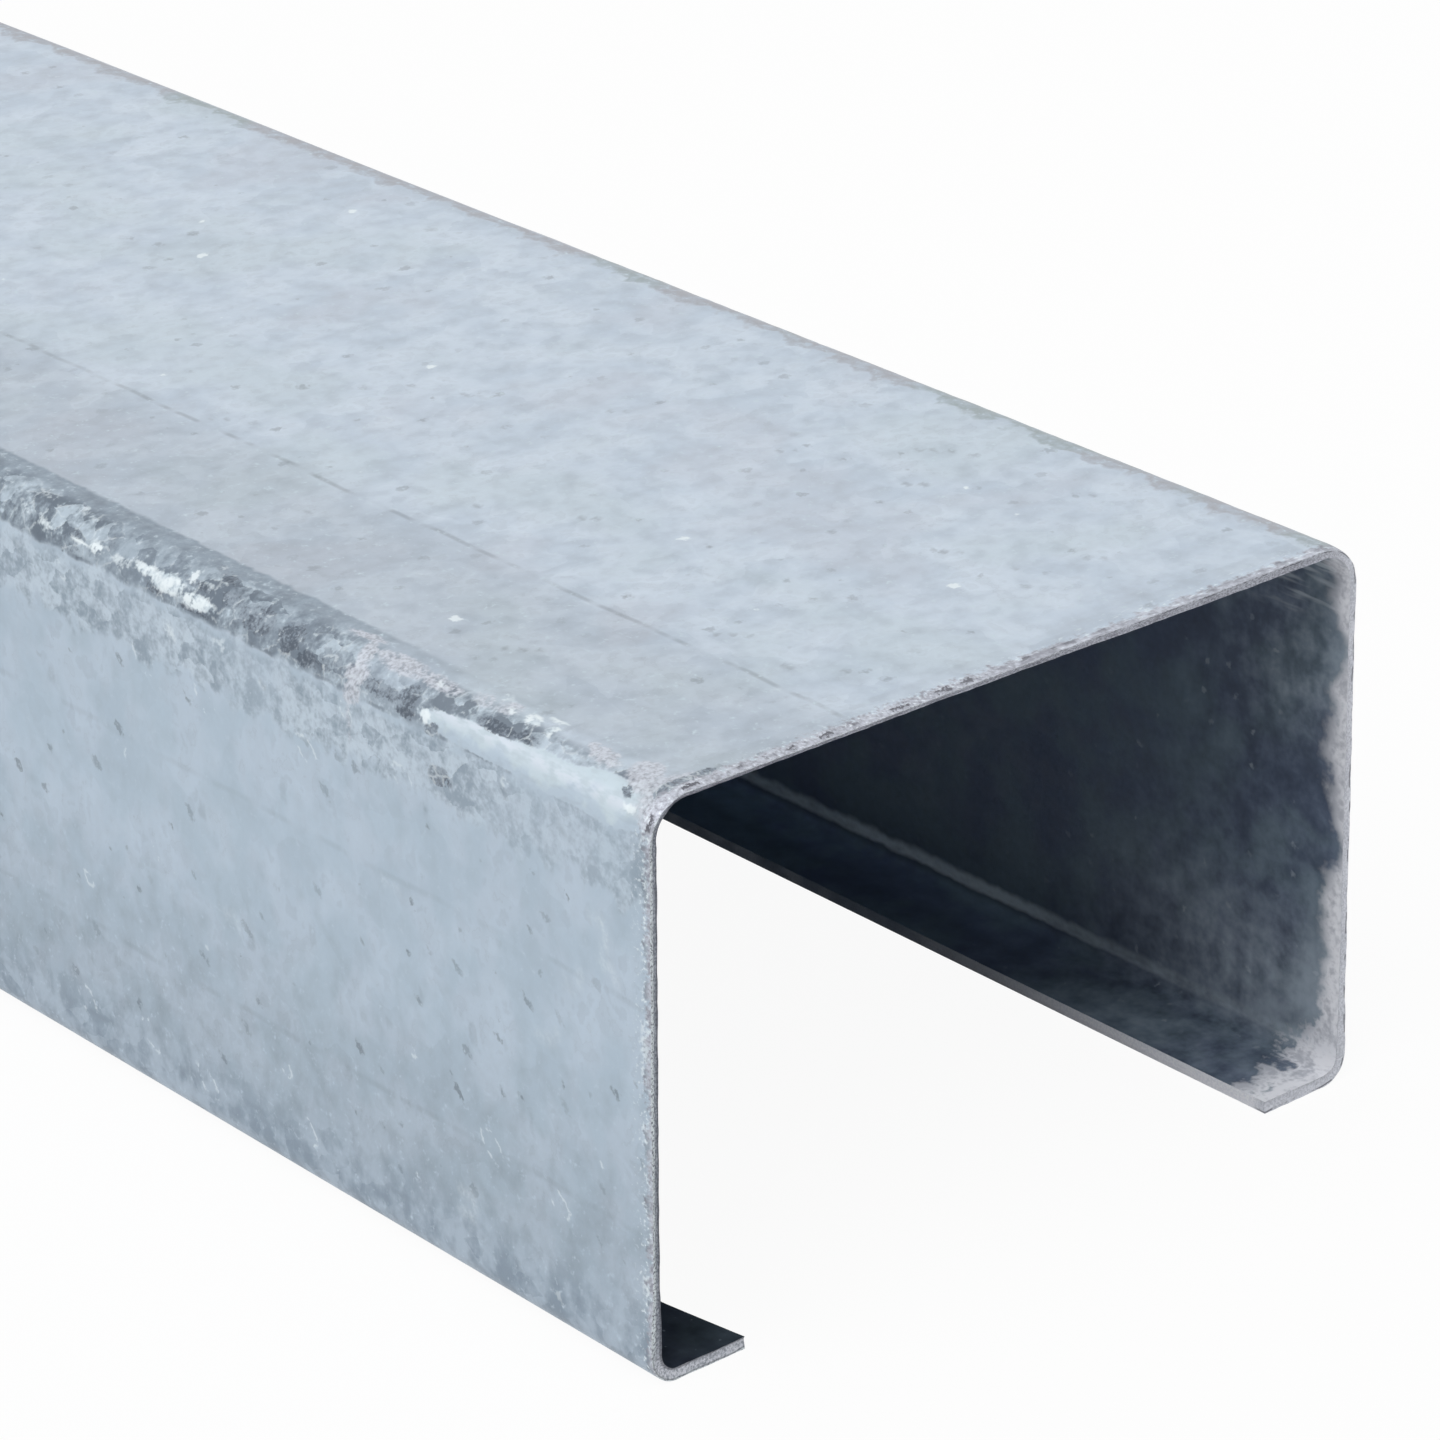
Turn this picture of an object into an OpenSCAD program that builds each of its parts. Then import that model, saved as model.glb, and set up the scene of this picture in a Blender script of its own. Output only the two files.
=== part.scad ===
// Cold-formed steel stud: one strip of galvanised sheet, rolled into a C
// with a wide web, two flanges and two short lips that turn back inwards.
//
// The stud lies with its open side down, on its two lips.
// X runs along the stud, Y across the web, and Z is up.
// The origin is on the floor, half way along the stud and half way across it.

/* [Stud] */
// Length of the stud, square cut at both ends
stud_length = 2438; // [300:1:6100]
// Width of the web, over the outside of the two flanges
web_width = 63.5; // [41:0.5:152]
// Depth of each flange, over the outside of the web and the lip
flange_depth = 41.3; // [31:0.1:76]
// Length of each lip, from the outside of its flange to its free edge
lip_length = 7.9; // [6:0.1:16]

/* [Sheet] */
// Thickness of the sheet, with its zinc
sheet_thickness = 0.92; // [0.4:0.01:1.5]
// Radius on the inside of the two bends beside the web
web_bend_radius = 2.4; // [0.5:0.1:3.5]
// Radius on the inside of the two tighter bends at the lips
lip_bend_radius = 1.3; // [0.5:0.1:3.5]

/* [Finish] */
// Colour of the zinc
zinc_colour = "lightsteelblue"; // [lightsteelblue, silver, lightgray]

/* [Hidden] */

// Facets in a full circle, for the preview of the bends
$fn = 64;

// Radii on the outside of the bends, which are also how far the centre of each
// bend lies inside the section's outline
web_bend = web_bend_radius + sheet_thickness;
lip_bend = lip_bend_radius + sheet_thickness;

// A quarter ring of sheet about the origin, in the quadrant where y and z are positive
module bend(inside_radius) {
    outside_radius = inside_radius + sheet_thickness;
    intersection() {
        difference() {
            circle(r = outside_radius);
            circle(r = inside_radius);
        }
        square(outside_radius);
    }
}

// Half of the web, from the middle of the stud out to its bend
module half_web() {
    translate([0, flange_depth - sheet_thickness])
        square([web_width / 2 - web_bend, sheet_thickness]);
}

// The straight part of a flange, between its two bends
module flange() {
    translate([web_width / 2 - sheet_thickness, lip_bend])
        square([sheet_thickness, flange_depth - web_bend - lip_bend]);
}

// The straight part of a lip, from its bend to its free edge
module lip() {
    translate([web_width / 2 - lip_length, 0])
        square([lip_length - lip_bend, sheet_thickness]);
}

// One half of the rolled section, on the side where y is positive
module half_section() {
    half_web();
    translate([web_width / 2 - web_bend, flange_depth - web_bend])
        bend(web_bend_radius);
    flange();
    translate([web_width / 2 - lip_bend, lip_bend])
        mirror([0, 1])
            bend(lip_bend_radius);
    lip();
}

// The whole section, with y to the right and z up
module section() {
    half_section();
    mirror([1, 0])
        half_section();
}

// The stud: its section carried along X, with its middle at the origin
module stud() {
    color(zinc_colour)
        rotate([90, 0, 90])
            linear_extrude(height = stud_length, center = true)
                section();
}

stud();
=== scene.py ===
"""The looks of a galvanised steel stud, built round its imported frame.

Lengths are metres, in the stud's own frame: X runs along it, with its near cut at the high end,
Y runs across the web, and Z is up from the floor that its two lips lie on. A place on the sheet is
given as it was on the flat strip before rolling: `along` is the distance from the near cut,
`across` the distance from the web's middle line over the outer face, and `through` runs from 0 on
the outer face to 1 on the inner one.
"""

import math

import bpy
import numpy as np
from mathutils import Matrix, Vector


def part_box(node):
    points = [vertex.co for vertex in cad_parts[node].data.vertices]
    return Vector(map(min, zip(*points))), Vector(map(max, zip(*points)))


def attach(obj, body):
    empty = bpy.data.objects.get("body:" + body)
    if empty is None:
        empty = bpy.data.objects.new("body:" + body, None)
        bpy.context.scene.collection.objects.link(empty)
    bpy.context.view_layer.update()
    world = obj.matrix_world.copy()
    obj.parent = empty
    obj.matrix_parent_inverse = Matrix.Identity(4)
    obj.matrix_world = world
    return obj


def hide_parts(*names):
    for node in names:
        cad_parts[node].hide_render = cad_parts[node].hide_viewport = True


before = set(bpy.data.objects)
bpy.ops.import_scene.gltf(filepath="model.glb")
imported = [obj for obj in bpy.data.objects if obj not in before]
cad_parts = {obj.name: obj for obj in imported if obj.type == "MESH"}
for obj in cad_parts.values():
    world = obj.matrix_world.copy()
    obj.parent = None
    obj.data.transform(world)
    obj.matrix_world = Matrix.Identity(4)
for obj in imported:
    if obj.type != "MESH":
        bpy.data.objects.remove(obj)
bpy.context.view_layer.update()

MM = 0.001

# The rolled section, with each bend's radius over the outside
LOW, HIGH = (np.array(corner, float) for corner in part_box("stud"))
LENGTH, WIDTH, DEPTH = HIGH - LOW
SHEET = 0.92 * MM
WEB_BEND = 2.4 * MM + SHEET
LIP_BEND = 1.3 * MM + SHEET
LIP = 7.9 * MM

# Where the flat strip turns, across it from the web's middle line
WEB_EDGE = WIDTH / 2 - WEB_BEND
FLANGE_TOP = WEB_EDGE + WEB_BEND * math.pi / 2
FLANGE_FOOT = FLANGE_TOP + DEPTH - WEB_BEND - LIP_BEND
LIP_ROOT = FLANGE_FOOT + LIP_BEND * math.pi / 2
STRIP_EDGE = LIP_ROOT + LIP - LIP_BEND

# How far the near flange's top leans in over its foot
LEAN = 0.85 * MM

# How far the mesh is fine, and how far the sheared end reaches
FINE = 80 * MM
SHEARED = 1.8 * MM

# How far the cut's corners are rolled over: outside, and inside beside the web
ROLLED = 0.16 * MM
TUCKED = 0.4 * MM

# How far from the cut its corners roll, and how far the shear set the steel back
ROLL_RUN = 1.3 * MM
CUT_RUN = 1.4 * MM
TORN = 0.08 * MM
BURR = 0.07 * MM

# A shallow nick in the near lip's free edge: distances from the near cut, and its depth at each
NICK_AT = np.array([0, 7, 10, 28]) * MM
NICK_DEPTH = np.array([0, 1.1, 1.1, 0]) * MM

# Edges turn sharp at this angle, in degrees
CREASE = 38

# The relief's depth: the thin zinc lies this far inside the steel's outer line
ZINC = 0.07 * MM


# -------- shapes


def value_noise(u, v, seed):
    """Random heights from 0 to 1 on a unit grid of 256 by 256 that repeats, joined in each
    direction by the smooth step 3t^2 - 2t^3."""
    heights = np.random.default_rng(seed).random((256, 256))
    column, row = np.floor(u).astype(int), np.floor(v).astype(int)
    s, t = u - column, v - row
    s, t = s * s * (3 - 2 * s), t * t * (3 - 2 * t)
    left, right = column % 256, (column + 1) % 256
    low, high = row % 256, (row + 1) % 256
    near = heights[left, low] * (1 - s) + heights[right, low] * s
    far = heights[left, high] * (1 - s) + heights[right, high] * s
    return near * (1 - t) + far * t


def step(value, low, high):
    """0 below low, 1 above high, and the smooth step between them."""
    t = np.clip((value - low) / (high - low), 0, 1)
    return t * t * (3 - 2 * t)


def section(across, depth):
    """Y and Z of a point on the rolled strip, at a depth below its outer face.

    A flat stretch shifts the point square to itself by the depth. On a bend the point turns
    about the bend's centre, at the outer radius less the depth, through the arc length over the
    outer radius. The strip's two halves mirror each other, but the near one leans in: it shifts
    by the lean times the height's share of the depth and the reach's share of the web."""
    reach = np.abs(across)
    upper = (reach - WEB_EDGE) / WEB_BEND
    lower = (reach - FLANGE_FOOT) / LIP_BEND
    foot = WIDTH / 2 - LIP_BEND
    stretches = [reach < WEB_EDGE, reach < FLANGE_TOP, reach < FLANGE_FOOT, reach < LIP_ROOT]
    y = np.select(
        stretches,
        [
            reach,
            WEB_EDGE + (WEB_BEND - depth) * np.sin(upper),
            WIDTH / 2 - depth,
            foot + (LIP_BEND - depth) * np.cos(lower),
        ],
        foot - (reach - LIP_ROOT),
    )
    z = np.select(
        stretches,
        [
            HIGH[2] - depth,
            HIGH[2] - WEB_BEND + (WEB_BEND - depth) * np.cos(upper),
            HIGH[2] - WEB_BEND - (reach - FLANGE_TOP),
            LOW[2] + LIP_BEND - (LIP_BEND - depth) * np.sin(lower),
        ],
        LOW[2] + depth,
    )
    lean = LEAN * (z - LOW[2]) / DEPTH * np.clip(reach / WEB_EDGE, 0, 1) * (across < 0)
    return np.sign(across) * (y - lean), z


def spread(marks, steps):
    """Stations from the first mark to the last, even between two marks and at most a step apart."""
    pieces = [
        np.linspace(start, end, max(2, math.ceil((end - start) / gap) + 1))[:-1]
        for start, end, gap in zip(marks, marks[1:], steps)
    ]
    return np.append(np.concatenate(pieces), marks[-1])


def ring(outer, inner, layers):
    """The section's closed outline as (across, through) pairs: over the outer face, down one slit
    edge through the layers, back over the inner face and up the other slit edge."""
    layers = np.array(layers)
    across = np.concatenate(
        [outer, np.full(len(layers), outer[-1]), inner[::-1], np.full(len(layers), outer[0])]
    )
    through = np.concatenate([np.zeros(len(outer)), layers, np.ones(len(inner)), layers[::-1]])
    return across, through


def ring_length(across, through):
    """How far round the outline each of its points is, the same for a coarse and a fine ring."""
    turn = 2 * STRIP_EDGE
    over_outer = across + STRIP_EDGE
    over_inner = turn + SHEET + STRIP_EDGE - across
    slit = np.where(across > 0, turn + through * SHEET, 2 * turn + SHEET + (1 - through) * SHEET)
    return np.where(through == 0, over_outer, np.where(through == 1, over_inner, slit))


# Marks beside the near cut, in mm: along, across, half length, half width, slant, strength.
# Runs of thick zinc
RUNS = [
    (51.3, -31.6, 2.2, 0.85, 0, 1),
    (53.9, -31.4, 1.6, 0.45, 0, 0.9),
    (47.6, -31.9, 2.2, 0.6, 0, 0.95),
    (56.5, -31.6, 1.3, 0.45, 0, 0.5),
    (59.6, -31.6, 0.9, 0.5, 0, 0.9),
    (61.5, -31.7, 1.1, 0.25, 0, 0.8),
    (65.7, -31.6, 1.2, 0.45, 0, 0.6),
    (68.6, -31.1, 1.5, 0.35, 0.3, 0.4),
    (62.8, -29.5, 2.2, 0.3, 0.3, 0.35),
    (66.8, -29.8, 2.2, 0.3, 0.2, 0.35),
    (14.6, -28.9, 0.9, 0.65, 0.2, 1),
    (12.6, -29, 0.5, 0.8, 0.2, 0.9),
    (13.2, -27.9, 1.2, 0.3, 0, 0.7),
    (16.6, -29, 0.6, 0.4, 0.2, 0.7),
    (22.7, -32, 0.7, 0.5, 0.3, 0.95),
    (23.2, -29.5, 0.7, 0.35, 0, 0.6),
    (2.5, -31.5, 0.8, 0.35, 0, 0.8),
    (47.5, -30.5, 1.4, 0.35, 0, 0.45),
    (50.4, -34.9, 0.8, 0.9, 0.4, 0.42),
    (44.6, -34.1, 1.1, 0.8, 0, 0.3),
    (39.8, -35.3, 0.6, 0.4, 0, 0.35),
    (18.4, -27.9, 0.7, 0.7, 0.3, 0.4),
]
# The smooth pale strip of zinc that leads to the near cut
STRIP = [
    (16.4, -31.9, 6.5, 0.85, 0, 1),
    (9.8, -31.8, 6.5, 1.15, 0, 1),
    (4.5, -31.5, 4.5, 1.5, 0, 1),
]
# Dark scale where the zinc is rubbed thin
SCALE = [
    (41.5, -31.1, 1.9, 1.1, 0, 1),
    (44.8, -30.7, 1.4, 0.7, 0, 0.6),
    (35.4, -32.1, 1.1, 0.5, 0, 1),
    (37.7, -31.2, 1.4, 1.3, 0, 0.75),
    (33.3, -31.5, 1.6, 0.9, 0, 0.55),
    (27.6, -31.7, 2, 0.6, 0, 0.85),
    (24.8, -31.2, 0.8, 0.9, 0, 0.85),
    (24.8, -32.4, 1.2, 0.25, 0, 0.8),
    (22, -32.6, 0.7, 0.4, -0.3, 0.9),
    (16.5, -30.6, 2.2, 0.5, 0, 0.7),
    (13.7, -30.3, 1.4, 0.5, 0, 0.6),
    (48.5, -30.7, 1.8, 0.35, 0, 0.85),
    (47, -29.1, 2.2, 0.5, 0.3, 0.55),
    (62.3, -31.4, 0.9, 0.35, 0, 0.7),
    (62.3, -32.5, 1.4, 0.25, -0.2, 0.7),
    (52.2, -32.4, 1.4, 0.2, 0, 0.8),
    (47.7, -32.6, 2, 0.15, 0, 0.8),
    (68, -29.5, 0.9, 0.35, 0, 0.4),
    (58.4, -30.5, 0.5, 0.8, 0.3, 0.45),
    (20.9, -35.6, 1.3, 0.8, 0, 0.65),
    (3.5, -30.6, 0.7, 0.4, 0.3, 0.6),
    (1.3, -28.6, 0.36, 1.6, 0, 2),
    (1.15, -25.9, 0.38, 0.9, 0, 2),
    (0.85, -21.5, 0.32, 0.4, 0, 2),
]
# Pink and beige bare metal
BLUSH = [
    (32.4, -28.5, 1.9, 0.4, -0.1, 0.9),
    (30.8, -29.8, 0.8, 1, 0.4, 0.9),
    (30.3, -31.5, 1.1, 1, 0, 1),
    (30.3, -32.8, 0.9, 0.8, 0, 0.9),
    (27.3, -29.4, 3, 0.9, 0, 0.8),
    (23.6, -29.5, 2.6, 0.7, 0, 0.6),
    (19, -29.1, 1.8, 0.8, 0, 0.4),
    (17, -28.8, 1, 0.9, 0, 0.55),
    (7.6, -28.9, 2, 0.9, 0.2, 0.75),
    (3.6, -28.9, 1.6, 1.6, 0.4, 1),
    (0.8, -29.1, 1.8, 3.2, 0, 1),
    (30.5, -34.9, 0.4, 1.6, 0, 0.4),
]
# Soft dark dimples in the web, and pits in the near flange
DIMPLES = [
    (5, 11.4, 0.5, 0.4, 0, 1),
    (9, 9.5, 0.9, 0.5, -0.6, 0.7),
    (11.5, 11.3, 0.6, 0.4, -0.5, 0.7),
    (17, 9.6, 1.1, 0.4, -0.7, 0.8),
    (25, 6.2, 1, 0.4, -0.8, 0.7),
    (9.5, 16, 1.2, 0.5, -0.8, 0.6),
    (27.5, 16, 1.4, 0.5, -0.7, 0.8),
    (18, 23.3, 1.4, 0.5, -0.7, 0.6),
    (31, 21.3, 1.6, 0.6, -0.7, 0.7),
    (38.3, 13.5, 1.2, 0.5, -0.7, 0.7),
    (52.3, 9.5, 1.3, 0.5, -0.8, 0.6),
    (38, -4.5, 1, 0.5, -0.6, 0.8),
    (16.4, -10.6, 1.6, 0.4, -0.9, 0.8),
    (10, -11.2, 0.9, 0.5, -0.4, 0.6),
    (6.8, -9, 0.6, 0.4, 0, 0.8),
    (26, -11.2, 1.1, 0.5, -0.5, 0.6),
    (45, -8.8, 1, 0.5, -0.6, 0.7),
    (52, -18.2, 1.1, 0.5, -0.7, 0.6),
    (24, -22.4, 1.6, 0.45, -0.8, 0.8),
    (24, -24.7, 1.2, 0.4, -0.8, 0.7),
    (62, 4, 1.4, 0.6, -0.7, 0.6),
    (70, -12, 1.3, 0.5, -0.8, 0.6),
    (47.5, -47.2, 0.6, 0.8, 0, 0.9),
    (35.3, -52.2, 0.5, 0.8, 0, 1),
    (18, -52.9, 0.6, 0.9, 0, 1),
    (23.4, -52.2, 0.4, 0.7, 0, 0.8),
    (15, -45.3, 0.5, 0.7, 0, 0.6),
    (38, -42.5, 0.5, 1, 0, 0.7),
    (65, -42.8, 0.6, 0.8, 0, 0.8),
    (42.3, -55.2, 0.6, 0.7, 0, 0.9),
    (27, -55.5, 0.4, 0.9, 0, 0.7),
    (31.7, -61.1, 0.6, 0.9, 0, 0.8),
    (12, -56.6, 0.6, 0.6, 0, 0.7),
    (48.7, -63.5, 0.6, 0.7, 0, 0.8),
    (57, -65.2, 1.2, 0.9, 0, 0.7),
]
MARKS = {"runs": RUNS, "strip_zinc": STRIP, "scale": SCALE, "blush": BLUSH, "dimples": DIMPLES}
# Pale rings and arcs of zinc on the near flange: along, across, radius, from and to angle, strength
ARCS = [
    (5.5, -41, 1.3, 60, 250, 0.8),
    (4.2, -43.8, 0.9, 20, 200, 0.7),
    (7.8, -44.6, 1, 150, 330, 0.6),
    (19, -65.7, 0.9, 0, 320, 0.7),
    (44.5, -54.7, 0.9, 30, 210, 0.5),
    (10.5, -49, 1.4, 200, 330, 0.5),
    (26.5, -46, 1.1, 40, 170, 0.4),
]
# Half the width of an arc's line, in mm
ARC_HALF = 0.45


def patches(along, across, spots):
    """The strongest of a list of oval spots. Each is its strength times 1.3 less the squared
    distance from its centre, in half lengths and half widths, kept between 0 and 1. A slant shifts
    a spot across the strip as it runs along."""
    u, v = along / MM, across / MM
    field = np.zeros(np.broadcast(u, v).shape)
    for place, side, half_length, half_width, slant, strength in spots:
        run = u - place
        distance = (run / half_length) ** 2 + ((v - side - slant * run) / half_width) ** 2
        field = np.maximum(field, strength * np.clip(1.3 - distance, 0, 1))
    return field


def arcs(along, across):
    """The strongest of the pale arcs: each its strength on its circle, falling to 0 half a line's
    width off it, and only between its two angles."""
    u, v = along / MM, across / MM
    field = np.zeros(np.broadcast(u, v).shape)
    for place, side, radius, start, end, strength in ARCS:
        off = np.abs(np.hypot(u - place, v - side) - radius)
        angle = np.degrees(np.arctan2(v - side, u - place)) % 360
        drawn = np.clip(1 - off / ARC_HALF, 0, 1) * (angle > start) * (angle < end)
        field = np.maximum(field, strength * drawn)
    return field


def bend_share(across):
    """1 on a bend of the strip and the sheet beside it, fading to 0 on the flats."""
    reach = np.abs(across)
    upper = step(reach, WEB_EDGE - 1.5 * MM, WEB_EDGE + MM)
    upper *= 1 - step(reach, FLANGE_TOP - MM, FLANGE_TOP + 4 * MM)
    return np.maximum(upper, step(reach, FLANGE_FOOT - 2 * MM, FLANGE_FOOT + MM) * 0.6)


def relief(along, across, outer):
    """How far the surface lies inside its nominal face: the thin zinc's depth, a slow wave of the
    rolled sheet, and lumps and pits along the bends, less the raised runs of zinc on the outer
    face."""
    u, v = along / MM, across / MM
    side = 0.0 if outer else 40.0
    wave = value_noise(u / 34 + side, v / 17, 3)
    lumps = value_noise(u / 2.3 + side, v / 1.4, 4) * 0.5 + value_noise(u / 0.9, v / 0.8, 5) * 0.5
    depth = ZINC * (0.35 + 0.65 * wave)
    depth += bend_share(across) * ZINC * (lumps - 0.5) * 1.1
    if outer:
        runs = np.maximum(patches(along, across, RUNS), patches(along, across, STRIP) * 0.6)
        depth += ZINC * 0.7 * patches(along, across, SCALE) - ZINC * 0.9 * runs
        depth += ZINC * 0.5 * patches(along, across, DIMPLES)
    return np.clip(depth, 0, 2 * ZINC) * (1 - 0.8 * step(np.abs(across), FLANGE_FOOT - 4 * MM, FLANGE_FOOT))


def rolled_over(along, across, outer):
    """How far the sheet's face bends in at the two cuts: the square of the share of a short run
    that is left to the cut, over the outer corner everywhere and the inner one by the web."""
    left = np.clip(1 - np.minimum(along, LENGTH - along) / ROLL_RUN, 0, 1) ** 2
    left *= 1 - step(np.abs(across), FLANGE_FOOT - 6 * MM, FLANGE_FOOT)
    if outer:
        return ROLLED * left
    beside_web = 1 - step(across, -8 * MM, 24 * MM) * 0.8
    return TUCKED * left * beside_web * (1 - step(-across, FLANGE_TOP - 2 * MM, FLANGE_TOP) * 0.7)


def cut_back(across, through, seed):
    """How far the sheared end lies inside the square end: a torn lower half and a fine burr,
    roughened by noise of two sizes, both drawn out along the edge."""
    v = across / MM
    torn = TORN * step(through, 0.30, 0.42) * (1 - step(through, 0.85, 1.0))
    coarse = BURR * value_noise(v / 2.3, through * 1.5 + 7, seed)
    grain = BURR * value_noise(v / 0.7, through * 5, seed + 1)
    return torn + coarse + grain


def place_points(along, across, through):
    """Points of the skin. A point's depth runs evenly from the outer face, with its relief and
    its rolled corner, to the inner face with its own. Both ends are set back by their cut, and
    the near lip shrinks towards its nicked edge."""
    outer = relief(along, across, True) + rolled_over(along, across, True)
    inner = relief(along, across, False) + rolled_over(along, across, False)
    depth = outer + through * (SHEET - outer - inner)
    nick = np.interp(along, NICK_AT, NICK_DEPTH) * step(-across, LIP_ROOT, STRIP_EDGE)
    y, z = section(across + nick, depth)
    near = cut_back(across, through, 11) * (1 - step(along, 0, CUT_RUN))
    far = cut_back(across, through, 21) * step(along, LENGTH - CUT_RUN, LENGTH)
    return np.stack([HIGH[0] - along - near + far, y, z], -1)


def grid_faces(index):
    """Quads over a grid of vertex numbers, rows away from the near cut."""
    corners = [index[:-1, :-1], index[1:, :-1], index[1:, 1:], index[:-1, 1:]]
    return np.stack(corners, -1).reshape(-1, 4)


def zip_rings(first, first_at, second, second_at):
    """Triangles between two closed rings with different numbers of points.

    Every gap of either ring is the base of one triangle, and its tip is the point of the other
    ring reached by then: the number of that ring's gaps that end at or before this one's end."""
    first, second = np.append(first, first[0]), np.append(second, second[0])
    whole = 4 * STRIP_EDGE + 2 * SHEET
    first_at, second_at = np.append(first_at, whole), np.append(second_at, whole)
    tip = np.searchsorted(second_at[1:], first_at[1:], side="left")
    lower = np.stack([first[:-1], second[tip], first[1:]], -1)
    tip = np.searchsorted(first_at[1:], second_at[1:], side="right")
    upper = np.stack([second[:-1], second[1:], first[tip]], -1)
    return np.concatenate([lower, upper])


class Skin:
    """Collects the rings, the cut faces and the seams of the stud's closed surface."""

    def __init__(self):
        self.strip, self.quads, self.triangles = [], [], []
        self.count = 0
        self.last = None

    def add(self, along, across, through):
        """Adds points by their place on the strip, and returns their numbers."""
        shape = np.broadcast(along, across, through).shape
        place = np.stack(np.broadcast_arrays(along, across, through), -1).reshape(-1, 3)
        self.strip.append(place)
        self.count += len(place)
        return np.arange(self.count - len(place), self.count).reshape(shape)

    def stretch(self, along, outline):
        """Carries one outline along the stud and joins it to the stretch before it."""
        across, through = outline
        index = self.add(along[:, None], across[None, :], through[None, :])
        self.quads.append(grid_faces(np.hstack([index, index[:, :1]])))
        at = ring_length(across, through)
        if self.last is not None:
            self.triangles.append(zip_rings(*self.last, index[0], at))
        self.last = (index[-1], at)
        return index

    def cut_face(self, edge, stations, layers, along, near):
        """Closes one end with a grid through the sheet, between the end ring's own points."""
        columns, rows = len(stations), len(layers)
        outer, rest = edge[:columns], edge[columns:]
        first, inner, second = rest[:rows], rest[rows : rows + columns][::-1], rest[rows + columns :]
        middle = self.add(along, stations[None, 1:-1], np.array(layers)[:, None])
        middle = np.hstack([second[::-1][:, None], middle, first[:, None]])
        faces = grid_faces(np.vstack([outer, middle, inner]))
        self.quads.append(faces if not near else faces[:, ::-1])


def face_finish(corners, through):
    """0 for faces on the outer face of the sheet, 1 on the inner face and 2 on its slit and
    sheared edges."""
    depth = through[corners]
    return np.where(depth.max(1) == 0, 0, np.where(depth.min(1) == 1, 1, 2))


def build_stud():
    """The stud's skin: a sheared end, a fine stretch, a long plainer one and the other end."""
    layers = [0.08, 0.22, 0.36, 0.55, 0.8]
    turns = [-STRIP_EDGE, -LIP_ROOT, -FLANGE_FOOT, -37.8 * MM, -27.0 * MM]
    turns += [26 * MM, 35 * MM, FLANGE_FOOT, LIP_ROOT, STRIP_EDGE]
    sheared = spread([-STRIP_EDGE, STRIP_EDGE], [0.32 * MM])
    outer = spread(turns, np.array([1.0, 0.5, 0.75, 0.28, 0.8, 0.6, 2.6, 0.7, 1.4]) * MM)
    inner = spread(turns, np.array([1.4, 0.7, 3.4, 1.2, 3.4, 0.8, 1.4, 0.5, 1.0]) * MM)
    plain = spread(turns, np.array([2.9, 0.9, 5.0, 1.2, 7.5, 1.2, 5.0, 0.9, 2.9]) * MM)
    far_end = spread([-STRIP_EDGE, STRIP_EDGE], [0.7 * MM])

    skin = Skin()
    rows = np.array([0, 0.15, 0.4, 0.8, 1.3]) * MM
    edge = skin.stretch(rows, ring(sheared, sheared, layers))
    skin.cut_face(edge[0], sheared, layers, 0.0, near=True)
    skin.stretch(spread([SHEARED, FINE], [0.41 * MM]), ring(outer, inner, [0.5]))
    strides = FINE + (LENGTH - SHEARED - FINE) * np.linspace(0, 1, 151)[1:] ** 1.25
    skin.stretch(strides, ring(plain, plain, [0.5]))
    edge = skin.stretch(LENGTH - rows[::-1], ring(far_end, far_end, layers))
    skin.cut_face(edge[-1], far_end, layers, LENGTH, near=False)

    strip = np.concatenate(skin.strip)
    along, across, through = strip.T
    quads, triangles = np.concatenate(skin.quads), np.concatenate(skin.triangles)
    mesh = bpy.data.meshes.new("galvanised_stud")
    mesh.from_pydata(place_points(along, across, through), [], quads.tolist() + triangles.tolist())
    mesh.shade_smooth()
    mesh.set_sharp_from_angle(angle=math.radians(CREASE))
    finish = np.concatenate([face_finish(quads, through), face_finish(triangles, through)])
    mesh.polygons.foreach_set("material_index", finish.astype(np.int32))
    place = mesh.attributes.new("strip", "FLOAT_VECTOR", "POINT")
    place.data.foreach_set("vector", strip.astype(np.float32).ravel())
    fields = {name: patches(along, across, spots) for name, spots in MARKS.items()}
    fields["arcs"] = arcs(along, across)
    for name, field in fields.items():
        values = (field * (through < 0.5)).astype(np.float32)
        mesh.attributes.new(name, "FLOAT", "POINT").data.foreach_set("value", values)
    stud = bpy.data.objects.new("galvanised_stud", mesh)
    bpy.context.scene.collection.objects.link(stud)
    return stud


# -------- finishes


class Amount:
    """A number or colour at each place on a surface, worked out by shader nodes. It adds,
    subtracts and multiplies as a plain number does: each sign makes one node."""

    # A numpy number to the left of a sign leaves the sum to this class
    __array_ufunc__ = None

    def __init__(self, recipe, socket):
        self.recipe, self.socket = recipe, socket

    def __add__(self, other):
        return self.recipe.sum("ADD", self, other)

    def __sub__(self, other):
        return self.recipe.sum("SUBTRACT", self, other)

    def __rsub__(self, other):
        return self.recipe.sum("SUBTRACT", other, self)

    def __mul__(self, other):
        return self.recipe.sum("MULTIPLY", self, other)

    def __abs__(self):
        return self.recipe.sum("ABSOLUTE", self)

    __radd__, __rmul__ = __add__, __mul__


def most(first, second):
    """The larger of two amounts."""
    return first.recipe.sum("MAXIMUM", first, second)


def fade(value, low, high, start=0.0, end=1.0):
    """A smooth step from start, where the value is low, to end, where it is high."""
    made = value.recipe.node("ShaderNodeMapRange", interpolation_type="SMOOTHSTEP")
    for socket, number in zip(made.inputs, (value, low, high, start, end)):
        value.recipe.plug(socket, number)
    return Amount(value.recipe, made.outputs[0])


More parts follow.
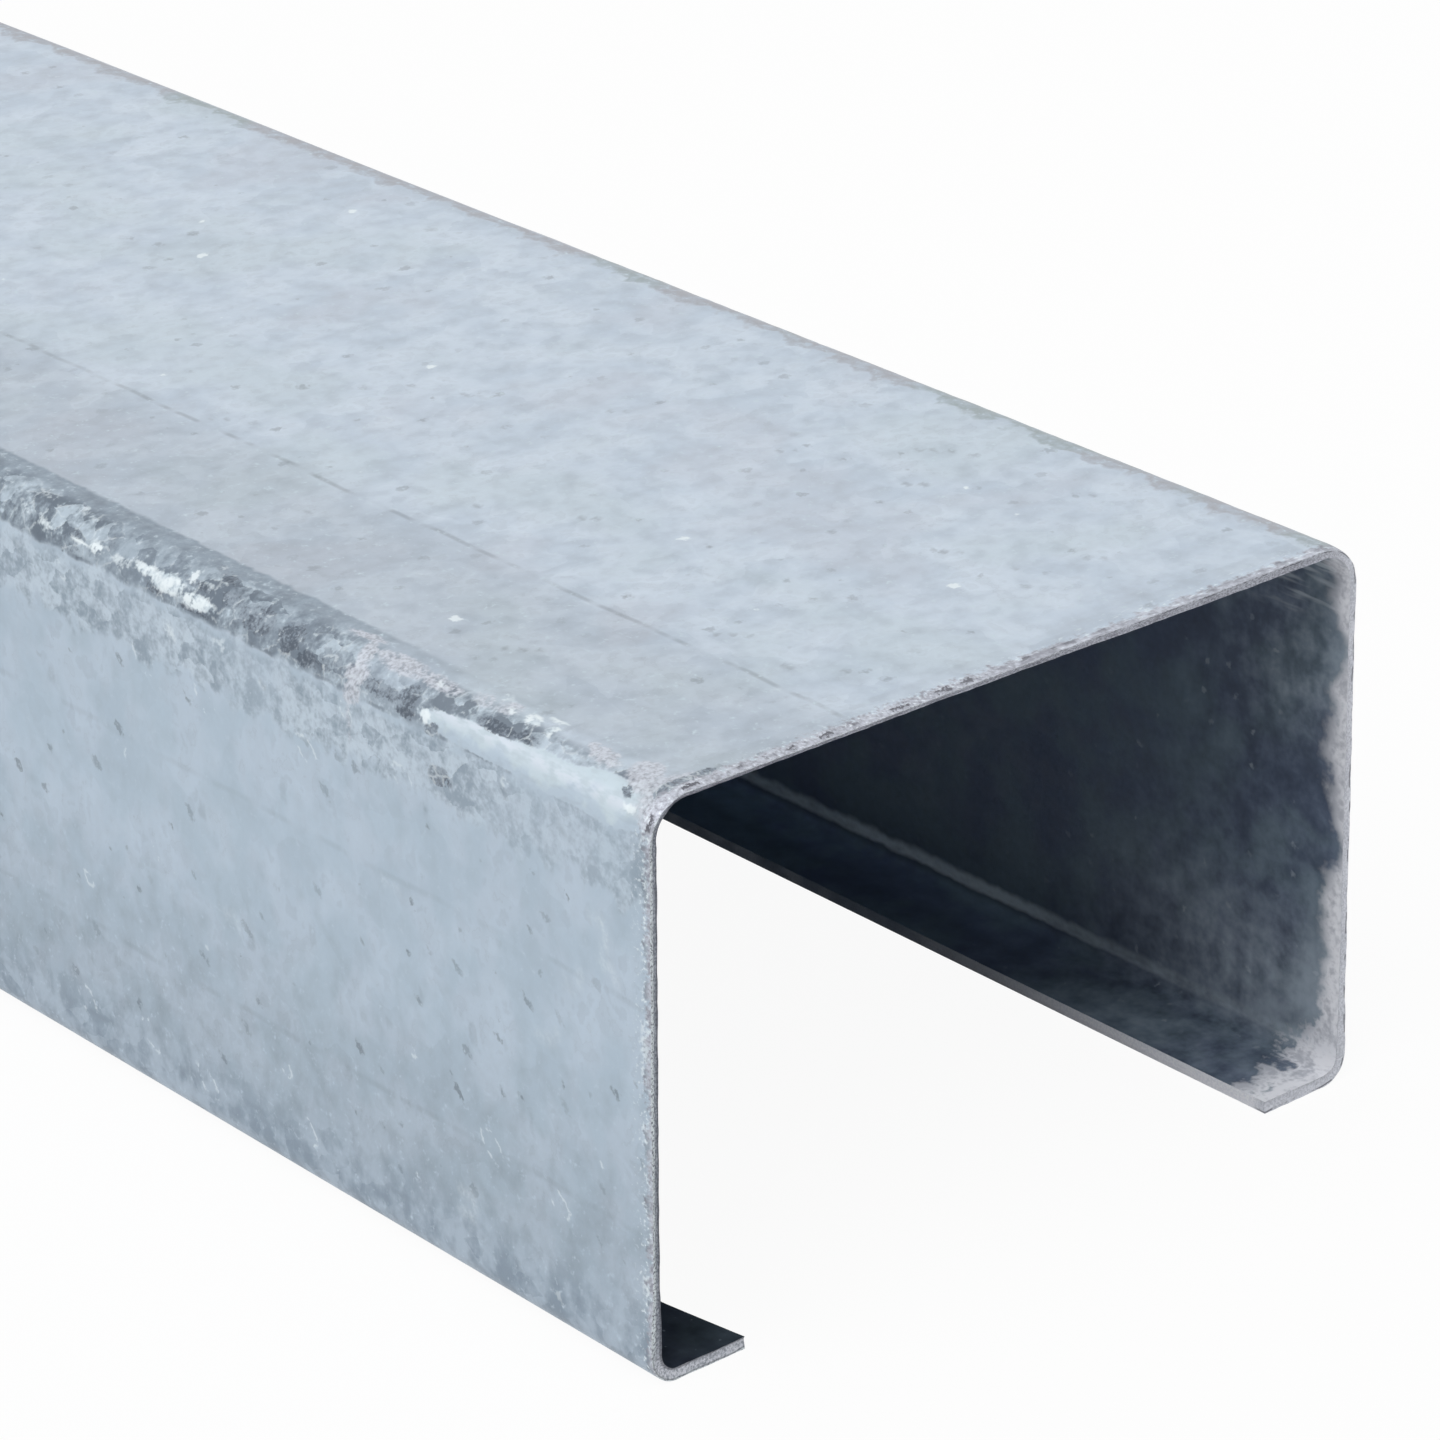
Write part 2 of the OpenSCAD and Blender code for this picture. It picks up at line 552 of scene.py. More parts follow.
def fall(value, low, high):
    """A smooth step from 1, where the value is low, down to 0, where it is high."""
    return fade(value, low, high, 1.0, 0.0)


def between(share, start, end):
    """A smooth step from start, where a share is 0, to end, where it is 1."""
    return fade(share, 0.0, 1.0, start, end)


def window(value, low, high, soft):
    """1 between low and high, with soft edges."""
    return fade(value, low - soft, low + soft) * fall(value, high - soft, high + soft)


def mix(share, first, second):
    """The first colour, with a share of the second laid over it."""
    made = share.recipe.node("ShaderNodeMix", data_type="RGBA")
    share.recipe.plug(made.inputs[0], share)
    for socket, value in zip(list(made.inputs)[6:8], (first, second)):
        share.recipe.plug(socket, value if isinstance(value, Amount) else (*value, 1.0))
    return Amount(share.recipe, made.outputs[2])


def shaded(colour, shade):
    """A colour times a shade."""
    made = colour.recipe.node("ShaderNodeVectorMath", operation="SCALE")
    colour.recipe.plug(made.inputs[0], colour)
    colour.recipe.plug(made.inputs["Scale"], shade)
    return Amount(colour.recipe, made.outputs[0])


class Recipe:
    """A finish written as sums of amounts. Patterns lie flat on the strip, at a place made from
    the distances along and across it."""

    def __init__(self, owner):
        self.owner = owner
        owner.use_nodes = True
        self.tree = owner.node_tree
        self.tree.nodes.clear()

    def node(self, kind, **settings):
        """A new node of one kind."""
        made = self.tree.nodes.new(kind)
        for name, value in settings.items():
            setattr(made, name, value)
        return made

    def plug(self, socket, value):
        """Leads an amount or another node's output into a socket, or sets a plain value there."""
        if isinstance(value, Amount):
            value = value.socket
        if isinstance(value, bpy.types.NodeSocket):
            self.tree.links.new(value, socket)
        else:
            socket.default_value = value

    def sum(self, operation, first, second=0.0):
        """One sum of two numbers."""
        made = self.node("ShaderNodeMath", operation=operation)
        self.plug(made.inputs[0], first)
        self.plug(made.inputs[1], second)
        return Amount(self, made.outputs[0])

    def blend(self, share, first, second):
        """Two shaders in one, with a share of the second."""
        made = self.node("ShaderNodeMixShader")
        for socket, value in zip(made.inputs, (share, first, second)):
            self.plug(socket, value)
        return made.outputs[0]

    def place(self, along, across):
        """A place on the flat strip."""
        made = self.node("ShaderNodeCombineXYZ")
        self.plug(made.inputs[0], along)
        self.plug(made.inputs[1], across)
        return Amount(self, made.outputs[0])

    def pattern(self, kind, place, size, socket="Vector", **settings):
        """A texture node of the given size, read at a place."""
        made = self.node(kind, **settings)
        self.plug(made.inputs[socket], place)
        made.inputs["Scale"].default_value = 1 / size
        return made

    def noise(self, place, size, detail=2.0, roughness=0.5):
        """Soft clouds from 0 to 1."""
        made = self.pattern("ShaderNodeTexNoise", place, size, noise_dimensions="2D")
        made.inputs["Detail"].default_value = detail
        made.inputs["Roughness"].default_value = roughness
        return Amount(self, made.outputs["Fac"])

    def line_noise(self, along, size, start, detail=0.0):
        """Noise that changes only along a line. Another start gives another run of it."""
        made = self.pattern("ShaderNodeTexNoise", along + start, size, "W", noise_dimensions="1D")
        made.inputs["Detail"].default_value = detail
        return Amount(self, made.outputs["Fac"])

    def cells(self, place, size):
        """The distance from the nearest of many scattered points, in cell sizes, and three
        random numbers for that point."""
        made = self.pattern("ShaderNodeTexVoronoi", place, size, voronoi_dimensions="2D")
        parts = self.node("ShaderNodeSeparateColor")
        self.plug(parts.inputs[0], made.outputs["Color"])
        return Amount(self, made.outputs["Distance"]), [Amount(self, part) for part in parts.outputs][:3]

    def plates(self, place, size):
        """A random number from -0.5 to 0.5 for each of many small cells."""
        _distance, (random, _second, _third) = self.cells(place, size)
        return random - 0.5

    def spots(self, place, size, share, small, large, shake, soft):
        """Scattered marks: a share of the cells hold one, from small to large in cell sizes, with
        an outline shaken by a noise. Gives their strength, different for each."""
        distance, (first, second, third) = self.cells(place, size)
        inside = between(second, small, large) + shake - distance
        held = fall(first, share - 0.02, share)
        return fade(inside, 0.0, soft) * held * between(third, 0.35, 1.0)

    def to_wall(self, place, size):
        """The distance from the walls between cells, in cell sizes."""
        settings = {"voronoi_dimensions": "2D", "feature": "DISTANCE_TO_EDGE"}
        made = self.pattern("ShaderNodeTexVoronoi", place, size, **settings)
        return Amount(self, made.outputs["Distance"])

    def finish(self, colour, roughness, height, metallic, gloss):
        """The sheet's own shader, with a relief of the given height in metres."""
        bump = self.node("ShaderNodeBump")
        bump.inputs["Distance"].default_value = 1.0
        self.plug(bump.inputs["Height"], height)
        shader = self.node("ShaderNodeBsdfPrincipled")
        shader.inputs["Metallic"].default_value = metallic
        shader.inputs["Specular IOR Level"].default_value = gloss
        self.plug(shader.inputs["Base Color"], colour)
        self.plug(shader.inputs["Roughness"], roughness)
        self.plug(shader.inputs["Normal"], bump.outputs[0])
        output = self.node("ShaderNodeOutputMaterial")
        self.plug(output.inputs["Surface"], shader.outputs[0])
        return self.owner

    def strip(self):
        """The distances along, across and through the sheet."""
        made = self.node("ShaderNodeSeparateXYZ")
        stored = self.node("ShaderNodeAttribute", attribute_name="strip")
        self.plug(made.inputs[0], stored.outputs["Vector"])
        return [Amount(self, part) for part in made.outputs]

    def mark(self, name):
        """A mark's strength, stored on the mesh."""
        return Amount(self, self.node("ShaderNodeAttribute", attribute_name=name).outputs["Fac"])

    def from_cut(self, along):
        """The distance from the nearer of the two cuts."""
        return self.sum("MINIMUM", along, LENGTH - along)


# Colours of the zinc and the steel, and of painted shade, light and reflection on them, as plain light
ZINC_BLUE = (0.5, 0.582, 0.678)
ZINC_PALE = (0.562, 0.636, 0.72)
ZINC_GREEN = (0.47, 0.56, 0.612)
ZINC_ROSE = (0.51, 0.545, 0.615)
FLANGE_BLUE = (0.468, 0.56, 0.658)
FLANGE_GREEN = (0.43, 0.53, 0.624)
BEND_REFLECTION_DARK = (0.195, 0.242, 0.295)
BEND_REFLECTION_LIGHT = (0.345, 0.415, 0.488)
FAR_GREEN = (0.312, 0.366, 0.382)
FAR_ROSE = (0.365, 0.375, 0.412)
RUN_WHITE = (0.78, 0.85, 0.885)
RUN_SHADE = (0.48, 0.57, 0.64)
STRIP_PALE = (0.555, 0.65, 0.715)
CREST_LILAC = (0.69, 0.735, 0.82)
SCALE_DARK = (0.085, 0.106, 0.138)
SCALE_GREY = (0.3, 0.355, 0.415)
BLUSH_PALE = (0.63, 0.662, 0.73)
BLUSH_GREY = (0.33, 0.34, 0.385)
LUMP_DARK = (0.125, 0.158, 0.2)
LUMP_PALE = (0.48, 0.565, 0.64)
LUMP_RIM = (0.62, 0.68, 0.72)
FOOT_DARK = (0.215, 0.275, 0.345)
FOOT_LIGHT = (0.415, 0.495, 0.58)
GRAIN_DARK = (0.248, 0.313, 0.38)
GRAIN_LIGHT = (0.56, 0.65, 0.735)
CUT_LIGHT = (0.555, 0.582, 0.655)
CUT_GREY = (0.285, 0.292, 0.34)
CUT_DARK = (0.068, 0.068, 0.085)
FLANGE_CUT_DARK = (0.17, 0.19, 0.225)
FLANGE_CUT_LIGHT = (0.42, 0.455, 0.51)
SMOOTH_NEAR = (0.34, 0.372, 0.42)
SMOOTH_FAR = (0.6, 0.625, 0.69)
SMOOTH_PALE = (0.79, 0.81, 0.88)
SLIT_GREY = (0.8, 0.815, 0.885)
SLIT_PALE = (0.91, 0.92, 0.965)
SLIT_DULL = (0.3, 0.31, 0.35)
SLIT_PAINTED_SHADE = (0.08, 0.105, 0.145)
INSIDE_SHADE_DARK = (0.082, 0.11, 0.172)
INSIDE_SHADE_GREEN = (0.096, 0.138, 0.182)
INSIDE_SPECKS_AND_PAINTED_LIGHT = (0.4, 0.465, 0.54)
INSIDE_PALE = (0.48, 0.54, 0.6)
INSIDE_RUBBED = (0.56, 0.58, 0.64)
INSIDE_BARE = (0.92, 0.935, 0.99)
RIB_HIGHLIGHT = (0.78, 0.9, 0.98)

# Bands along the bends, across the strip from the web's middle line; the near band is a painted reflection
NEAR_REFLECTION_BAND = (27.3 * MM, 32.8 * MM)
ROUGH_BAND = (29.1 * MM, 32.7 * MM)
GRAINY_BAND = (33.1 * MM, 37.6 * MM)
GRAINY_FOOT = (63.5 * MM, 69.5 * MM)
FAR_BAND = (28.0 * MM, 34.5 * MM)
FAR_RIDGE = (30.1 * MM, 33.0 * MM)
STRIP_CREST = (31.1 * MM, 31.9 * MM)
SEAM = 32.8 * MM
# Where the painted highlight runs along the inner face's bend into the lip
INNER_RIB = 69.55 * MM

# The sizes of the zinc's plates on the flats and of its lumps on the near bend
PLATE = 1.7 * MM
LUMP = 1.3 * MM

# How far along the inner face's patterns are read, so that they differ from the outer face's
ASIDE = 0.5

# Lines that the rolls drew along the strip: across, in mm, and how dark
ROLL_LINES = [(-13.7, 0.24), (-44.5, 0.08), (-60.6, 0.10), (-67.9, 0.12), (44.2, 0.10), (60.5, 0.12)]


def outer_zinc():
    """The outer face: mottled, pitted zinc, with a painted reflection dark along the near bend and painted
    shade towards the flanges' feet, a darker grey band along the far bend, runs of thick zinc and patches
    of scale near the cut."""
    mat = Recipe(bpy.data.materials.new("outer_zinc"))
    along, across, _through = mat.strip()
    reach = abs(across)
    near_side = fall(across, -1 * MM, 1 * MM)
    flange = fade(reach, FLANGE_TOP - 2 * MM, FLANGE_TOP)
    from_cut = mat.from_cut(along)
    runs, strip_zinc, scale, blush = (mat.mark(name) for name in ("runs", "strip_zinc", "scale", "blush"))

    # Mottles are a little drawn out across the strip
    drawn_along, drawn_across = along * 0.74, across * 0.62
    drawn = mat.place(drawn_along, drawn_across)
    place = mat.place(along, across)
    broad = mat.noise(mat.place(across, along), 17 * MM, 2.0, 0.6)
    puffs = mat.noise(drawn, 3.4 * MM, 2.0, 0.5)
    cloudy = mat.noise(drawn, 1.3 * MM, 3.0, 0.52)
    crust = mat.noise(place, 0.95 * MM, 3.0, 0.62)
    crumb = mat.noise(place, 0.34 * MM, 1.0)
    speck = mat.noise(place, 0.3 * MM, 2.0, 0.6)
    offsets = (pattern - 0.5 for pattern in (crust, crumb, cloudy, puffs, speck))
    crust_off, crumb_off, cloud_off, puff_off, speck_off = offsets
    shake = crust_off * 0.3 + crumb_off * 0.14
    moved = mat.place(drawn_along + 1.6 * MM * cloud_off, drawn_across + 2.4 * MM * puff_off)
    plate_off = mat.plates(moved, PLATE)
    lump_place = mat.place(along * 0.8 + 0.8 * MM * crust_off, across + 0.9 * MM * cloud_off)
    lump_off = mat.plates(lump_place, LUMP)

    # Mottled zinc
    lightness = puff_off * 0.8 + cloud_off * 0.7 + broad * 0.6 - 0.3 + plate_off * 0.17
    colour = mix(fade(lightness, -0.30, 0.30), ZINC_BLUE, ZINC_PALE)
    colour = mix(fade(broad, 0.50, 0.68, 0.0, 0.35), colour, ZINC_GREEN)
    colour = mix(fade(broad, 0.44, 0.30, 0.0, 0.35), colour, ZINC_ROSE)
    flange_blue = mix(fade(puffs, 0.40, 0.62), FLANGE_GREEN, FLANGE_BLUE)
    colour = mix(flange * 0.85, colour, flange_blue)
    lower = fade(reach, FLANGE_TOP + 10 * MM, FLANGE_FOOT)
    strength = -0.14 * flange + lower * 0.34 + 0.36
    shade = 1.0 + (cloud_off + puff_off * 0.35) * strength + crust_off * 0.04
    shade += plate_off * (0.045 + lower * 0.04)
    # Painted shade: the flanges darken towards their feet
    shade *= between(lower, 1.0, 0.82)
    rubbed = fade(across, -11 * MM, -17 * MM) * fade(reach, WEB_EDGE, WEB_EDGE - MM)
    shade *= 1 - rubbed * 0.13

    # Smudges, hollows, dimples, pits, crescents and flecks
    smudge = fade(cloudy, 0.57, 0.68) * fade(puffs, 0.44, 0.58, 0.3, 1.0)
    hollow = fall(abs(cloudy - 0.385), 0.004, 0.022)
    hollow *= fade(puffs, 0.5, 0.6)
    dimples = fade(mat.mark("dimples") + shake * 2.4, 0.2, 0.8)
    down = most(reach - FLANGE_TOP, 0.0)
    slanted = mat.place(drawn_along + down * 0.45, drawn_across)
    pits = mat.spots(slanted, 2.1 * MM, 0.5, 0.04, 0.19, shake * 1.4, 0.11)
    dark = smudge * 0.1 + hollow * 0.06
    # The listed dimples and pits are dents in the relief, darkened here with painted shade
    dark += dimples * between(flange, 0.26, 0.12)
    dark += pits * between(flange, 0.27, 0.42)
    shade *= 1 - dark
    distance, (chance, size, _third) = mat.cells(slanted, 4.6 * MM)
    fleck_edge = between(size, 0.022, 0.08) + shake * 0.4
    flecks = fade(fleck_edge - distance, 0.0, 0.04) * fade(chance, 0.9, 0.92)
    flecks *= between(flange, 1.0, 0.4)
    rim = abs(distance + shake * 0.3 - between(size, 0.05, 0.16))
    crescents = fall(rim, 0.004, 0.03) * fade(chance, 0.34, 0.32)
    crescents *= fade(cloudy + crust_off * 0.8, 0.52, 0.62)

    # Lines that the rolls drew
    wander = 0.9 * MM * mat.line_noise(along, 13 * MM, 6.0, 2.0)
    gaps = [mat.line_noise(along, 4.5 * MM, 1.0, 2.0), mat.line_noise(along, 6.0 * MM, 8.0, 2.0)]
    broken = [fade(gap, 0.42, 0.58, 0.12, 1.0) for gap in gaps]
    for number, (line, line_strength) in enumerate(ROLL_LINES):
        offset = abs(across + wander - (line + 0.45) * MM)
        ruled = fall(offset, 0.05 * MM, 0.36 * MM) * line_strength
        shade *= 1 - ruled * broken[number % 2]
    colour = shaded(colour, shade)

    # Bands along the bends: a dark painted reflection on the near bend, a darker grey band on the far bend
    straight = 0.9 * MM * cloud_off
    near_reach = reach + straight
    near_bend_reflection = window(near_reach, *NEAR_REFLECTION_BAND, 0.22 * MM) * near_side
    old_band = fade(along, 20 * MM, 40 * MM, 0.10, 1.0)
    band_tone = crust_off * 1.1 + cloud_off * 0.9
    bend_reflection_grey = mix(fade(band_tone, -0.60, 0.60), BEND_REFLECTION_DARK, BEND_REFLECTION_LIGHT)
    colour = mix(near_bend_reflection * old_band, colour, bend_reflection_grey)
    far_side = 1 - near_side
    ragged = MM * crust_off + 3.4 * MM * (cloud_off + puff_off)
    far_band = window(reach + ragged, *FAR_BAND, 0.4 * MM) * far_side
    far_grey = mix(fade(broad, 0.42, 0.58), FAR_ROSE, FAR_GREEN)
    far_grey = mix(fade(band_tone, -0.25, 0.40, 0.0, 0.6), far_grey, ZINC_BLUE)
    colour = mix(far_band * 0.95, colour, far_grey)
    far_ridge = window(reach, *FAR_RIDGE, 0.2 * MM) * far_side
    colour = mix(far_ridge * 0.7, colour, ZINC_ROSE)

    # Grains beside the near bend and at the flange's foot
    grain_tone = crust_off * 0.9 + cloud_off * 0.7 + crumb_off * 0.35 + lump_off * 0.34
    grainy = mix(fade(grain_tone, -0.36, 0.32), GRAIN_DARK, GRAIN_LIGHT)
    grain_reach = reach + 3.0 * MM * (cloud_off + puff_off)
    beside = window(grain_reach, *GRAINY_BAND, 0.5 * MM) * near_side
    colour = mix(beside * fade(broad, 0.3, 0.6, 0.45, 0.85), colour, grainy)
    foot = fade(grain_reach, *GRAINY_FOOT)
    foot_tone = cloud_off * 1.2 + puff_off + (crust_off + lump_off) * 0.28
    foot_grey = mix(fade(foot_tone, -0.34, 0.30), FOOT_DARK, FOOT_LIGHT)
    colour = mix(foot * 0.8, colour, foot_grey)

    # Rough zinc on the near bend: dark and pale lumps, with pale rims round some of them
    rough_zone = window(near_reach, *ROUGH_BAND, 0.45 * MM) * near_side
    rough_zone *= 1 - fade(strip_zinc, 0.0, 0.3)
    lively = fade(mat.line_noise(along, 12 * MM, 3.0), 0.35, 0.6, 0.45, 1.0)
    lump_tone = grain_tone + mat.line_noise(along, 4 * MM, 9.0) * 0.4 + lump_off * 0.28
    lumps = mix(fade(lump_tone, -0.14, 0.62), LUMP_DARK, LUMP_PALE)
    colour = mix(rough_zone * lively * 0.85, colour, lumps)
    net = fall(mat.to_wall(lump_place, LUMP), 0.02, 0.10)
    net *= fade(crust + puff_off * 0.8, 0.44, 0.58)
    net_share = most(rough_zone * 0.4, fade(scale, 0.0, 0.4, 0.0, 0.55))
    scratches = net * net_share

    seam_reach = abs(reach + straight * 0.5 - SEAM)
    seam = fall(seam_reach, 0.04 * MM, 0.22 * MM) * near_side
    seam *= fade(mat.line_noise(along, 3.4 * MM, 5.0, 2.0), 0.46, 0.62)
    colour = mix(seam * 0.45, colour, SCALE_DARK)

    # Marks of the near end
    coarse = crust_off * 2.2 + crumb_off * 1.3
    zinc_streaks = mat.noise(mat.place(along * 0.36, across), 0.55 * MM, 2.0, 0.55)
    pale = mix(fade(reach + ragged, 31.7 * MM, 32.8 * MM, 0.0, 0.8), STRIP_PALE, FLANGE_BLUE)
    crest = window(reach + along * 0.012, *STRIP_CREST, 0.4 * MM)
    pale = mix(crest * fade(zinc_streaks, 0.38, 0.62, 0.1, 0.6), pale, CREST_LILAC)
    pale = shaded(pale, fade(zinc_streaks + crust_off * 0.3, 0.28, 0.55, 0.93, 1.0))
    colour = mix(fade(strip_zinc + coarse * 0.25, 0.05, 0.26), colour, pale)
    fine_tone = speck_off * 1.5 + crumb_off + crust_off * 0.6
    pink = mix(fade(fine_tone, -0.62, 0.34), BLUSH_GREY, BLUSH_PALE)
    bare = fade(blush + coarse * 0.8, -0.15, 0.8) * fade(blush, 0.0, 0.4)
    colour = mix(bare * 0.8, colour, pink)
    flaked = mix(fade(grain_tone + speck_off * 0.8, -0.3, 0.3), SCALE_DARK, SCALE_GREY)
    dark_scale = fade(scale + coarse, 0.08, 0.5) * fade(scale, 0.0, 0.4, 0.0, 0.92)
    colour = mix(dark_scale, colour, flaked)
    colour = mix(scratches, colour, LUMP_RIM)
    white = fade(runs + coarse * 0.8, 0.15, 0.7) * fade(runs, 0.0, 0.3)
    white *= fade(runs, 0.2, 0.9, 0.35, 1.0)
    colour = mix(white, colour, mix(fade(grain_tone, -0.40, 0.06), RUN_SHADE, RUN_WHITE))
    rings = mat.mark("arcs") * fade(crumb, 0.35, 0.6, 0.3, 0.8)
    crescents *= between(flange, 0.12, 0.45)
    spots_and_rings = most(most(flecks * 0.85, rings * 0.55), crescents)
    colour = mix(spots_and_rings, colour, RUN_WHITE)

    # Wear beside the cuts: a speckled band, with chips in broken groups, narrow on the flanges
    squeezed = across * fade(across, -15 * MM, 10 * MM, 1.0, 0.3)
    edge_off = mat.noise(mat.place(along, squeezed), 0.3 * MM, 3.0, 0.6) - 0.5
    edge_tone = edge_off * 1.9 + crumb_off * 0.5 + crust_off * 0.5
    bite = 1.7 * MM * crust_off + 0.9 * MM * edge_off
    wide = between(flange, 1.0 * MM, 0.3 * MM) * fade(across, -10 * MM, 12 * MM, 1.0, 0.65)
    worn = fade(from_cut + bite - wide, -0.25 * MM, 0.25 * MM, 0.92, 0.0)
    speckled = mix(fade(edge_tone + cloud_off * 1.2, -0.52, 0.36), CUT_GREY, CUT_LIGHT)
    colour = mix(worn, colour, speckled)
    bright = fade(edge_tone, 0.2, 0.48) * fade(from_cut + bite, 1.2 * MM, 2.4 * MM, 0.8, 0.0)
    colour = mix(bright * 0.8, colour, RUN_WHITE)
    chip_line = abs(from_cut + 0.8 * MM * (crust_off + edge_off) - 0.42 * MM)
    chips = fall(chip_line, 0.08 * MM, 0.24 * MM)
    chips *= fade(mat.line_noise(across, 2.2 * MM, 2.0, 5.0), 0.5, 0.57, 0.0, 0.85)
    chips *= between(flange, 1.0, 0.35) * fade(across, -8 * MM, 12 * MM, 1.0, 0.4)
    colour = mix(chips, colour, CUT_DARK)
    frost_line = abs(from_cut + 1.2 * MM * crust_off - 0.55 * MM)
    frost = fade(frost_line, 0.1 * MM, 0.5 * MM, 0.55, 0.0) * flange * near_side
    frost *= fade(edge_tone + puff_off * 2.5, 0.0, 0.45)
    colour = mix(frost, colour, RUN_WHITE)
    dulled = window(from_cut + 0.6 * MM * cloud_off, 1.1 * MM, 2.6 * MM, 0.15 * MM) * (1 - flange)
    colour = shaded(colour, 1 - dulled * 0.05)

    roughness = fade(cloudy, 0.3, 0.7, 0.42, 0.52) + near_bend_reflection * 0.05
    height = 0.04 * MM * crust
    return mat.finish(colour, roughness, height, metallic=0.45, gloss=0.5)


def inner_zinc():
    """The inner face: dull zinc with soft blotches, darkened by painted shade, made paler towards the cut
    and the foot by painted light, with a painted highlight along the lip's bend."""
    mat = Recipe(bpy.data.materials.new("inner_zinc"))
    along, across, _through = mat.strip()
    reach = abs(across)
    far_side = fade(across, -1 * MM, 1 * MM)
    from_cut = mat.from_cut(along)
    place = mat.place(along + ASIDE, across)
    broad = mat.noise(place, 9 * MM, 3.0, 0.6)
    cloudy = mat.noise(place, 2.1 * MM, 2.0)
    grain = mat.noise(place, 0.5 * MM, 2.0)
    broad_off, cloud_off, grain_off = (pattern - 0.5 for pattern in (broad, cloudy, grain))

    # Painted light that comes in at the open cut, reaching further in low down on the flanges
    low = fade(reach, 42 * MM, 70 * MM)
    glow = fall(from_cut - 10 * MM * low, 0.0, 30 * MM)
    # Dull zinc darkened by painted shade; its blotches show more where the painted light falls
    colour = mix(fade(broad, 0.38, 0.62), INSIDE_SHADE_DARK, INSIDE_SHADE_GREEN)
    mottle = cloud_off * 0.85 + grain_off * 0.25 + broad_off * 0.7
    colour = shaded(colour, 1.0 + mottle * between(glow, 0.5, 1.0))
    # Painted light: brighter deeper in from the cut, and along the lip further from the cut
    colour = shaded(colour, fade(from_cut, 25 * MM, 90 * MM, 1.0, 2.0))
    lip_glow = fade(reach, 70.3 * MM, 71.3 * MM) * fade(reach, 74 * MM, 76 * MM, 0.75, 0.2)
    colour = shaded(colour, 1.0 + lip_glow * fade(from_cut, 20 * MM, 34 * MM))
    # Painted shade: darker still over the near lip and its bend, under the near flange
    colour = shaded(colour, fade(across, -70 * MM, -66 * MM, 0.25, 1.0))
    # Pale painted light near the cut: patches low down, high by the web's bends and low on the far flange
    lit = fade(mottle, -0.32, 0.75) * between(glow, 0.07, 0.5)
    lit *= between(far_side, 0.08, 1.0)
    colour = mix(lit * between(low, 0.52, 1.0), colour, INSIDE_SPECKS_AND_PAINTED_LIGHT)
    top = window(reach, 30 * MM, 46 * MM, 5 * MM) * fall(from_cut, 2 * MM, 19 * MM)
    colour = mix(top * fade(mottle, -0.15, 0.5, 0.1, 0.75), colour, INSIDE_SPECKS_AND_PAINTED_LIGHT)
    low_glow = fade(reach, 57 * MM, 66 * MM) * fall(from_cut, 9 * MM, 28 * MM)
    low_glow *= far_side * fade(reach, 69 * MM, 72 * MM, 1.0, 0.15)
    colour = mix(low_glow * fade(mottle, -0.55, 0.45, 0.1, 0.72), colour, INSIDE_SPECKS_AND_PAINTED_LIGHT)
    # Pale flecks, stronger where the painted light falls near the cut, and pale specks over the near lip
    flecks = mat.spots(place, 2.3 * MM, 0.42, 0.03, 0.15, grain_off * 0.3, 0.12)
    colour = mix(flecks * fade(glow, 0.0, 0.8, 0.08, 0.42), colour, INSIDE_PALE)
    specks = mat.spots(place, 0.8 * MM, 0.24, 0.05, 0.2, grain_off * 0.5, 0.1)
    speck_share = fade(across, -70 * MM, -66 * MM, 0.5, 0.0)
    speck_share *= fade(from_cut, 2 * MM, 9 * MM, 1.0, 0.3)
    colour = mix(specks * speck_share, colour, INSIDE_SPECKS_AND_PAINTED_LIGHT)

    # A painted highlight along the bend where the flange turns into the lip
    rib_off = abs(reach - INNER_RIB) + 0.8 * MM * cloud_off
    rib_highlight = fall(rib_off, 0.25 * MM, 0.95 * MM)
    rib_highlight *= far_side * fade(mottle, -0.32, 0.2, 0.6, 1.0)
    colour = mix(rib_highlight * fade(from_cut, 10 * MM, 50 * MM, 0.22, 1.0), colour, RIB_HIGHLIGHT)
    drawn = window(reach + 5 * MM * broad_off, 28 * MM, 36.5 * MM, 0.8 * MM)
    drawn *= fade(from_cut, 2 * MM, 14 * MM, 0.9, 0.0)
    streak = mat.noise(mat.place(along * 0.14, across), 0.8 * MM, 2.0)
    colour = mix(drawn * fade(streak, 0.46, 0.64), colour, INSIDE_PALE)

    # Bare, rubbed metal beside the cut, on the far side only
    foot = fade(reach, 61 * MM, 70 * MM)
    bite = 3.4 * MM * cloud_off + 1.6 * MM * grain_off
    bite *= between(foot, 0.7, 1.6)
    uneven = 5 * MM * (mat.line_noise(across, 6.5 * MM, 4.0, 2.0) - 0.5)
    edge = from_cut + bite + uneven - 2.0 * MM * foot
    bare = fade(edge, 0.2 * MM, 2.0 * MM, 0.98, 0.0) * fade(across, 20 * MM, 30 * MM)
    rubbed_tone = cloud_off * 1.4 + grain_off + broad_off * 0.8
    rubbed = mix(fade(rubbed_tone, -0.45, 0.22), INSIDE_RUBBED, INSIDE_BARE)
    colour = mix(bare, colour, rubbed)
    height = 0.03 * MM * cloudy
    return mat.finish(colour, fade(cloudy, 0.3, 0.7, 0.55, 0.7), height, metallic=0.0, gloss=0.15)


